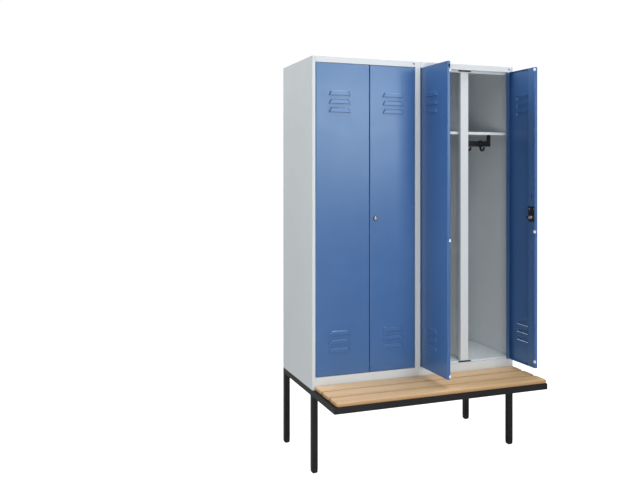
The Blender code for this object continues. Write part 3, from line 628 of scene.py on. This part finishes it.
def louvre_tree():
    """Pressed louvres in two groups: a grid bent to a raised form with a round top and slanted ends."""
    lengths = ("Width", "Height", "Depth", "Slant", "Run", "Pitch", "Lower group", "Upper group")
    bench, size = new_tree("pressed_louvres", lengths, ("Count",))
    # The flat grid runs from -1 to 1 across and from -0.5 to 0.5 up
    grid = bench.node("GeometryNodeMeshGrid", None, {
        "Size X": 2.0, "Size Y": 1.0, "Vertices X": GRID_ACROSS, "Vertices Y": GRID_UP}, out="Mesh")
    spot = bench.node("GeometryNodeInputPosition")
    across, up = bench.node("ShaderNodeSeparateXYZ", None, {0: spot}, out=("X", "Y"))
    rise = 1 - (0.5 - up) ** GRID_CROWDING
    span = 1 - (1 - across.math("ABSOLUTE")) ** GRID_CROWDING
    half = size["Width"] * 0.5 - size["Slant"] * rise
    x = across.math("SIGN") * span * half
    z = size["Height"] * rise
    to_end = (1 - span) * half * SQUARE_TO_END
    to_top = size["Height"] - z
    near = to_end.math("SMOOTH_MIN", to_top, SLOPE_BLEND)
    height = size["Depth"] * (near / size["Run"]).step(0.0, 1.0)
    bent = bench.node("ShaderNodeCombineXYZ", None, {"X": x, "Y": RIM_SUNK - height, "Z": z})
    hood = bench.node("GeometryNodeSetPosition", None, {"Geometry": grid, "Position": bent})
    rows = []
    for group in ("Lower group", "Upper group"):
        first = size[group] - size["Pitch"] * (size["Count"] - 1) * 0.5 - size["Height"] * 0.5
        begin = bench.node("ShaderNodeCombineXYZ", None, {"Z": first})
        gap = bench.node("ShaderNodeCombineXYZ", None, {"Z": size["Pitch"]})
        rows.append(bench.node("GeometryNodeMeshLine", {"mode": "OFFSET"}, {
            "Count": size["Count"], "Start Location": begin, "Offset": gap}))
    both = bench.node("GeometryNodeJoinGeometry", None, {"Geometry": rows[0]})
    bench.tree.links.new(rows[1].socket, both.socket.node.inputs["Geometry"])
    hoods = bench.node("GeometryNodeInstanceOnPoints", None, {"Points": both, "Instance": hood})
    return close_tree(bench, hoods, BLUE)


def stop_tree():
    """Soft stops, one on each point it is given."""
    bench, size = new_tree("soft_stops", ("Width", "Depth", "Height"))
    extent = bench.node("ShaderNodeCombineXYZ", None, {
        "X": size["Width"], "Y": size["Depth"], "Z": size["Height"]})
    plug = bench.node("GeometryNodeMeshCube", None, {"Size": extent}, out="Mesh")
    stops = bench.node("GeometryNodeInstanceOnPoints", None, {"Points": size["Geometry"], "Instance": plug})
    return close_tree(bench, stops, WHITE_RUBBER)


def slat_tree():
    """Planed bench slats laid side by side, each with a number of its own for its figure."""
    bench, size = new_tree("planed_slats", ("Length", "Breadth", "Thickness", "Corner", "Gap"), ("Count",))
    outline = bench.node("GeometryNodeCurvePrimitiveQuadrilateral", None, {
        "Width": size["Length"], "Height": size["Breadth"]})
    eased = bench.node("GeometryNodeFilletCurve", {"mode": "POLY"}, {
        "Curve": outline, "Radius": size["Corner"], "Count": SLAT_CORNER_STEPS})
    upward = bench.node("ShaderNodeCombineXYZ", None, {"Z": size["Thickness"]})
    rise = bench.node("GeometryNodeCurvePrimitiveLine", None, {"End": upward})
    board = bench.node("GeometryNodeCurveToMesh", None, {
        "Curve": rise, "Profile Curve": eased, "Fill Caps": True})
    step = bench.node("ShaderNodeCombineXYZ", None, {"Y": size["Breadth"] + size["Gap"]})
    places = bench.node("GeometryNodeMeshLine", {"mode": "OFFSET"}, {
        "Count": size["Count"], "Offset": step})
    boards = bench.node("GeometryNodeInstanceOnPoints", None, {"Points": places, "Instance": board})
    number = bench.node("GeometryNodeInputIndex")
    marked = bench.node("GeometryNodeStoreNamedAttribute", {"domain": "INSTANCE", "data_type": "FLOAT"}, {
        "Geometry": boards, "Name": "board", "Value": number / size["Count"]})
    return close_tree(bench, marked, BEECH)


LOUVRES = louvre_tree()
STOPS = stop_tree()
SLATS = slat_tree()


def finished(name, shape, material, body, replaced=(), place=None, edge=CUT_EDGE, steps=EDGE_STEPS, wall=0):
    """A piece moved to its place and finished: fine broken edges, smooth bends, riding on its body."""
    if place is not None:
        shape.transform(place)
    shape.normal_update()
    draft = as_object(shape)
    draft.data.shade_smooth()
    if wall:
        thicken = draft.modifiers.new("sheet", "SOLIDIFY")
        thicken.thickness = wall
        thicken.offset = -1
    if edge:
        bevel = draft.modifiers.new("broken_edges", "BEVEL")
        bevel.width = edge
        bevel.segments = steps
        bevel.limit_method = "ANGLE"
        bevel.angle_limit = EDGE_ANGLE
        bevel.harden_normals = False
    weights = draft.modifiers.new("flat_faces", "WEIGHTED_NORMAL")
    weights.keep_sharp = True
    weights.weight = FLAT_WEIGHT
    mesh = modified_mesh(draft)
    mesh.name = name
    bpy.data.objects.remove(draft)
    made = bpy.data.objects.new(name, mesh)
    made.data.materials.clear()
    made.data.materials.append(material)
    bpy.context.scene.collection.objects.link(made)
    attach(made, body)
    if replaced:
        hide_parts(*replaced)
    return made


def dressed(material, body, *nodes, folded=True, edge=CUT_EDGE, steps=EDGE_STEPS):
    """The pieces that keep their solids' shape, with bends and broken edges added."""
    for node in nodes:
        shape = solid_of(node)
        if folded:
            round_folds(shape)
        finished(node + "_piece", shape, material, body, (node,), edge=edge, steps=steps)


def recoat(material, *nodes):
    """Gives solids that need no other shape their finish."""
    for node in nodes:
        for slot in frame["nodes"][node].material_slots:
            slot.material = material


def oval_hole(x):
    """The cut of one oval pressing in the top rail: a disc of radius 1, squeezed to the oval's size."""
    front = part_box("top_panel")[0].y
    shape = turned(((front - SHEET, 1), (front + 4 * SHEET, 1)))
    oval = Matrix.Diagonal((OVAL_WIDTH / 2, 1, OVAL_HEIGHT / 2, 1))
    shape.transform(Matrix.Translation((x, 0, OVAL_LEVEL)) @ oval)
    return shape


def door_place(number):
    """Where a door's frame lies in the photograph's pose; the door is shut at its joint's lower limit."""
    hinge = next(joint for joint in frame["joints"] if joint["name"] == f"door_{number}_hinge")
    turn = Matrix.Rotation(math.radians(-hinge["range_deg"][0]), 4, Vector(hinge["axis"]))
    return Matrix.Translation(Vector(hinge["pos_m"])) @ turn


def from_hinge(side, low, high):
    """A stretch of a door's width, measured from its hinge line."""
    return side * low, side * high


def louvre_floors():
    """The undersides of a door's louvres."""
    group = LOUVRE_PITCH * (LOUVRE_COUNT - 1) + LOUVRE_HEIGHT
    return [middle - group / 2 + LOUVRE_PITCH * i for middle in (LOWER_GROUP, UPPER_GROUP)
            for i in range(LOUVRE_COUNT)]


def louvre_slit(side, low):
    """The cut behind one louvre, a little smaller than its rim."""
    shape = bmesh.new()
    foot = 0.5 * LOUVRE_WIDTH - SLIT_FOOT_END
    top = 0.5 * LOUVRE_WIDTH - LOUVRE_SLANT - SLIT_TOP_END
    foot_level = low + SLIT_FOOT
    top_level = low + LOUVRE_HEIGHT - SLIT_TOP
    outline = ((-foot, foot_level), (foot, foot_level), (top, top_level), (-top, top_level))
    rings = [[shape.verts.new((side * LOUVRE_MIDDLE + x, y, z)) for x, z in outline] for y in THROUGH_FACE]
    return skinned(shape, rings)


def lock_cuts(side):
    """The cuts for a lock: the cylinder's hole, the case's opening and the latch's slot in the hem."""
    hole = turned([(y, LOCK_HOLE_RADIUS) for y in THROUGH_FACE], (side * LOCK_REACH, 0, LOCK_LEVEL))
    opening = block(from_hinge(side, LOCK_REACH - CASE_HALF_WIDTH, LOCK_REACH + CASE_HALF_WIDTH),
                    (DOOR_FACE + 1.5 * SHEET, DOOR_BACK + SHEET), (CASE_BOTTOM, CASE_TOP))
    slot = block(from_hinge(side, *LATCH_SLOT_ACROSS), (DOOR_BACK - 1.5 * SHEET, DOOR_BACK + SHEET),
                 LATCH_SLOT_LEVELS)
    return hole, opening, slot


def edge_window(side, reach):
    """The cut of the window in a door's free edge."""
    return block(from_hinge(side, reach - 1.5 * SHEET, reach + SHEET),
                 (DOOR_FACE + 4 * SHEET, DOOR_BACK - 3 * SHEET),
                 (DOOR_HEIGHT - WINDOW_BOTTOM, DOOR_HEIGHT - WINDOW_TOP))


def door_pan(side, reach):
    """A pressed pan with folded hems, the slits of its louvres and the cuts for its lock or its window."""
    inside = (SHEET, DOOR_HEIGHT - SHEET)
    pan = rounded_block(FOLD_OUTSIDE, from_hinge(side, -HINGE_EDGE, reach),
                        (DOOR_FACE, DOOR_BACK), (0, DOOR_HEIGHT))
    cavity = rounded_block(FOLD_INSIDE, from_hinge(side, SHEET - HINGE_EDGE, reach - SHEET),
                           (DOOR_FACE + SHEET, DOOR_BACK - SHEET), inside)
    mouth = block(from_hinge(side, HINGE_HEM - HINGE_EDGE, reach - FREE_HEM),
                  (DOOR_FACE + 2 * SHEET, DOOR_BACK + SHEET), inside)
    slits = [louvre_slit(side, low) for low in louvre_floors()]
    cuts = lock_cuts(side) if side == RIGHT_HUNG else (edge_window(side, reach),)
    return carved(pan, cavity, mouth, *slits, *cuts)


def door_louvres():
    """All the louvres of a door."""
    return grown("louvres", LOUVRES, {
        "Width": LOUVRE_WIDTH, "Height": LOUVRE_HEIGHT, "Depth": LOUVRE_DEPTH, "Slant": LOUVRE_SLANT,
        "Run": LOUVRE_RUN, "Pitch": LOUVRE_PITCH, "Lower group": LOWER_GROUP, "Upper group": UPPER_GROUP,
        "Count": LOUVRE_COUNT})


def door_stops(side, reach):
    """The white soft stops in the corner of a door's free edge."""
    points = bmesh.new()
    for level in STOP_LEVELS[side]:
        points.verts.new((side * (reach + STOP_PAST_EDGE - STOP_WIDTH / 2),
                          DOOR_BACK + STOP_PAST_HEM - STOP_DEPTH / 2, level))
    return grown("stops", STOPS, {"Width": STOP_WIDTH, "Depth": STOP_DEPTH, "Height": STOP_HEIGHT}, points)


def hinge_pins():
    """The pins at a door's foot and head."""
    pins = bmesh.new()
    for low, high in ((-PIN_REACH, SHEET), (DOOR_HEIGHT - SHEET, DOOR_HEIGHT + PIN_REACH)):
        middle = Matrix.Translation((0, 0, (low + high) / 2))
        bmesh.ops.create_cone(pins, cap_ends=True, segments=PIN_SIDES, radius1=PIN_RADIUS,
                              radius2=PIN_RADIUS, depth=high - low, matrix=middle)
    return pins


def build_door(number):
    """A door: its pan, louvres, soft stops, hinge pins and stiffener."""
    side = DOOR_SIDES[number - 1]
    reach = DOOR_REACHES[side]
    place = door_place(number)
    body = f"door_{number}"
    finished(f"door_{number}_pan", door_pan(side, reach), BLUE, body, (f"door_{number}",), place)
    louvre_place = place @ Matrix.Translation((side * LOUVRE_MIDDLE, DOOR_FACE, 0))
    finished(f"door_{number}_louvres", door_louvres(), BLUE, body, place=louvre_place, edge=0, wall=SHEET)
    finished(f"door_{number}_stops", door_stops(side, reach), WHITE_RUBBER, body, place=place,
             edge=STOP_EDGE, steps=ROUND_STEPS)
    finished(f"door_{number}_pins", hinge_pins(), NICKEL, body, place=place, edge=PIN_EDGE)
    dressed(BLUE, body, f"door_stiffener_{number}")


def lock_place(pair):
    """The frame of the lock on a pair's right-hung door: its y axis is the cylinder's, through the door."""
    return door_place(2 * pair) @ Matrix.Translation((RIGHT_HUNG * LOCK_REACH, 0, LOCK_LEVEL))


def moved(outline, level):
    """An outline's pairs with their y counted from a level."""
    return [(level + y, radius) for y, radius in outline]


def cross_screw(x, z, radius, seat, rise):
    """A domed screw head with a cross recess, its head rising from a seat towards +y."""
    outline = [(seat + rise * up, radius * out) for up, out in SCREW_OUTLINE]
    arm, half = radius * RECESS_ARM, radius * RECESS_HALF_WIDTH
    depth = (seat + rise * RECESS_FLOOR, seat + 2 * rise)
    return carved(turned(outline, (x, 0, z), SCREW_SIDES),
                  block((x - arm, x + arm), depth, (z - half, z + half)),
                  block((x - half, x + half), depth, (z - arm, z + arm)))


def lock_collar(seat):
    """The black ring round the core, and its neck through the door."""
    return carved(turned([*moved(COLLAR_OUTLINE, seat), (CASE_BACK - SHEET, NECK_RADIUS)]),
                  turned(moved(COLLAR_BORE, seat)))


def lock_core(seat):
    """The bright core with its dish and its key slot."""
    face = seat - CORE_RISE
    key_slot = block((-KEY_SLOT_WIDTH / 2, KEY_SLOT_WIDTH / 2), (face - SHEET, face + KEY_SLOT_DEPTH),
                     (-KEY_SLOT_HEIGHT / 2, KEY_SLOT_HEIGHT / 2))
    return carved(turned(moved(CORE_OUTLINE, seat)), turned(moved(CORE_DISH, seat)), key_slot)


def lock_sleeve():
    """The barrel behind the case, with a groove round it."""
    return turned([*moved(SLEEVE_OUTLINE, CASE_BACK), (BARREL_END, SLEEVE_RADIUS)])


def build_lock(pair):
    """A lock: collar and core outside, sleeve, cam and its screw inside, and the case with two screws."""
    place = lock_place(pair)
    seat = DOOR_FACE - SEAT_GAP
    body, door_body = f"lock_{pair}", f"door_{2 * pair}"
    cylinder, cam, case = f"lock_cylinder_{pair}", f"lock_cam_{pair}", f"lock_case_{pair}"
    finished(f"lock_collar_{pair}", lock_collar(seat), PLASTIC, body, (cylinder,), place, COLLAR_EDGE)
    finished(f"lock_core_{pair}", lock_core(seat), NICKEL, body, place=place, edge=CORE_EDGE)
    finished(f"lock_sleeve_{pair}", lock_sleeve(), ZINC, body, place=place, edge=SLEEVE_EDGE)
    screw = cross_screw(0, 0, CAM_SCREW_RADIUS, CAM_BACK, CAM_SCREW_RISE)
    finished(f"lock_cam_screw_{pair}", screw, ZINC, body, place=place, edge=CAM_SCREW_EDGE)
    finished(f"{cam}_lever", solid_of(cam), NEAR_BLACK, body, (cam,), edge=CAM_EDGE, steps=CAM_STEPS)
    finished(f"{case}_body", solid_of(case), PLASTIC, door_body, (case,), edge=CASE_EDGE, steps=ROUND_STEPS)
    for end, x in (("left", -CASE_SCREW_SIDE), ("right", CASE_SCREW_SIDE)):
        screw = cross_screw(x, CASE_SCREW_ABOVE, CASE_SCREW_RADIUS, CASE_BACK, CASE_SCREW_RISE)
        finished(f"{case}_{end}_screw", screw, ZINC, door_body, place=place, edge=CASE_SCREW_EDGE)


def foot_ring(shape, middle, level, reach, corner):
    """One level of a foot: points round a square of a half width, with its corners rounded."""
    ring = []
    for quarter in range(4):
        base = math.pi / 2 * quarter
        diagonal = Vector((math.cos(base + math.pi / 4), math.sin(base + math.pi / 4)))
        centre = diagonal * math.sqrt(2) * (reach - corner)
        for i in range(FOOT_CORNER_STEPS + 1):
            turn = base + math.pi / 2 * i / FOOT_CORNER_STEPS
            ring.append(shape.verts.new((middle.x + centre.x + corner * math.cos(turn),
                                         middle.y + centre.y + corner * math.sin(turn), level)))
    return ring


def foot_levels(half):
    """The height and half width of each level of a foot, from the floor up."""
    turns = [math.pi / 2 * i / FOOT_ROUND_STEPS for i in range(FOOT_ROUND_STEPS, -1, -1)]
    swept = [(FOOT_ROUND * (1 - math.sin(turn)), half - FOOT_ROUND * (1 - math.cos(turn)))
             for turn in turns]
    return [*swept, (FOOT_TOP, half)]


def build_foot(node):
    """A plastic foot: its lower edges swept round, its corners eased like the tube's."""
    low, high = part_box(node)
    middle = (low + high) / 2
    half = (high.x - low.x) / 2
    shape = bmesh.new()
    rings = []
    for height, reach in foot_levels(half):
        corner = FOOT_CORNER + (half - reach) * FOOT_CORNER_GROWTH
        rings.append(foot_ring(shape, middle, low.z + height, reach, corner))
    finished(node + "_moulding", skinned(shape, rings), PLASTIC, "cabinet", (node,), edge=FOOT_EDGE)


def build_carcass():
    """The cabinet's sheet, with the pads and coat rails fixed to it."""
    dressed(LIGHT_GREY, "cabinet", "left_side", "right_side", "middle_wall", "floor_panel",
            *(f"centre_post_{pair}" for pair in PAIRS), *(f"hat_shelf_{bay}" for bay in COMPARTMENTS))
    ovals = [oval_hole(door_place(2 * pair).translation.x) for pair in PAIRS]
    top_panel = carved(round_folds(solid_of("top_panel")), *ovals)
    finished("top_panel_piece", top_panel, LIGHT_GREY, "cabinet", ("top_panel",))
    recoat(LIGHT_GREY, "back_panel", *(f"partition_{pair}" for pair in PAIRS))
    dressed(PLASTIC, "cabinet", *(f"stop_pad_{end}_{pair}" for end in ("bottom", "top") for pair in PAIRS),
            *(f"coat_rail_{bay}" for bay in COMPARTMENTS), folded=False, edge=FITTING_EDGE)


def build_coat_hooks():
    """The hooks that slide on the coat rails."""
    for bay in COMPARTMENTS:
        for hook in HOOKS:
            dressed(PLASTIC, f"hook_{bay}_{hook}", f"coat_hook_{bay}_{hook}", folded=False,
                    edge=HOOK_EDGE, steps=ROUND_STEPS)


def build_base():
    """The bench frame's square tube and its feet."""
    dressed(NEAR_BLACK, "cabinet", "base_left_frame", "base_right_frame", "base_front_rail",
            "base_rear_rail", folded=False, edge=TUBE_EDGE, steps=ROUND_STEPS)
    for corner in ("front_left", "front_right", "rear_left", "rear_right"):
        build_foot(f"foot_{corner}")


def build_bench():
    """The slats, laid back from the place of the first."""
    low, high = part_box("bench_slat_1")
    slats = grown("slats", SLATS, {
        "Length": high.x - low.x, "Breadth": high.y - low.y, "Thickness": high.z - low.z,
        "Corner": SLAT_CORNER, "Gap": SLAT_GAP, "Count": SLAT_COUNT})
    slats.transform(Matrix.Translation(((low.x + high.x) / 2, (low.y + high.y) / 2, low.z)))
    bmesh.ops.recalc_face_normals(slats, faces=slats.faces)
    finished("bench_slats", slats, BEECH, "cabinet", [f"bench_slat_{i + 1}" for i in range(SLAT_COUNT)],
             edge=SLAT_ROUND, steps=SLAT_ROUND_STEPS)


def add_floor():
    """A plain floor that looks white to the camera and glows faintly on the locker."""
    mesh = bpy.data.meshes.new("studio_floor")
    spots = [(FLOOR_REACH * x, FLOOR_REACH * y, 0) for x, y in ((-1, -1), (1, -1), (1, 1), (-1, 1))]
    mesh.from_pydata(spots, [], [(0, 1, 2, 3)])
    ground = bpy.data.objects.new("studio_floor", mesh)
    bpy.context.scene.collection.objects.link(ground)
    material, bench, shader, where = new_finish("studio_floor")
    seen = bench.node("ShaderNodeLightPath", out="Is Camera Ray")
    drive(bench, shader,
          Base_Color=bench.mix(bench.noise(where, scale=0.7), grey(0.40), grey(0.42)),
          Roughness=0.9,
          Specular_IOR_Level=0.2,
          Emission_Color=bench.mix(seen, grey(FLOOR_GLOW), grey(FLOOR_SEEN)),
          Emission_Strength=1.0)
    mesh.materials.append(material)


def add_sky():
    """A white sky, brighter to the camera than to the locker."""
    world = bpy.data.worlds.new("studio")
    world.use_nodes = True
    bench = Bench(world.node_tree)
    seen = bench.node("ShaderNodeLightPath", out="Is Camera Ray")
    drive(bench, world.node_tree.nodes["Background"],
          Color=colour(grey(1)),
          Strength=SKY_LIGHT + seen * (SKY_SEEN - SKY_LIGHT))
    bpy.context.scene.world = world


def add_softbox(name, place, target, size, watts):
    """A large soft light aimed at a point."""
    light = bpy.data.lights.new(name, "AREA")
    light.shape = "RECTANGLE"
    light.size, light.size_y = size
    light.energy = watts
    holder = bpy.data.objects.new(name, light)
    holder.location = place
    holder.rotation_euler = (Vector(target) - Vector(place)).to_track_quat("-Z", "Y").to_euler()
    bpy.context.scene.collection.objects.link(holder)


def add_camera():
    """The level camera, with its shift in place of a tilt."""
    camera = bpy.data.cameras.new("camera")
    camera.sensor_width = SENSOR_WIDTH
    camera.lens = CAMERA_LENS
    camera.shift_x, camera.shift_y = CAMERA_SHIFT
    holder = bpy.data.objects.new("camera", camera)
    holder.location = CAMERA_PLACE
    holder.rotation_euler = (math.radians(90), 0, math.radians(CAMERA_TURN))
    bpy.context.scene.collection.objects.link(holder)
    bpy.context.scene.camera = holder
    bpy.context.scene.view_settings.view_transform = "Standard"


build_carcass()
build_coat_hooks()
for door in COMPARTMENTS:
    build_door(door)
for lock in PAIRS:
    build_lock(lock)
build_base()
build_bench()

add_floor()
add_sky()
for softbox in SOFTBOXES:
    add_softbox(*softbox)
add_camera()
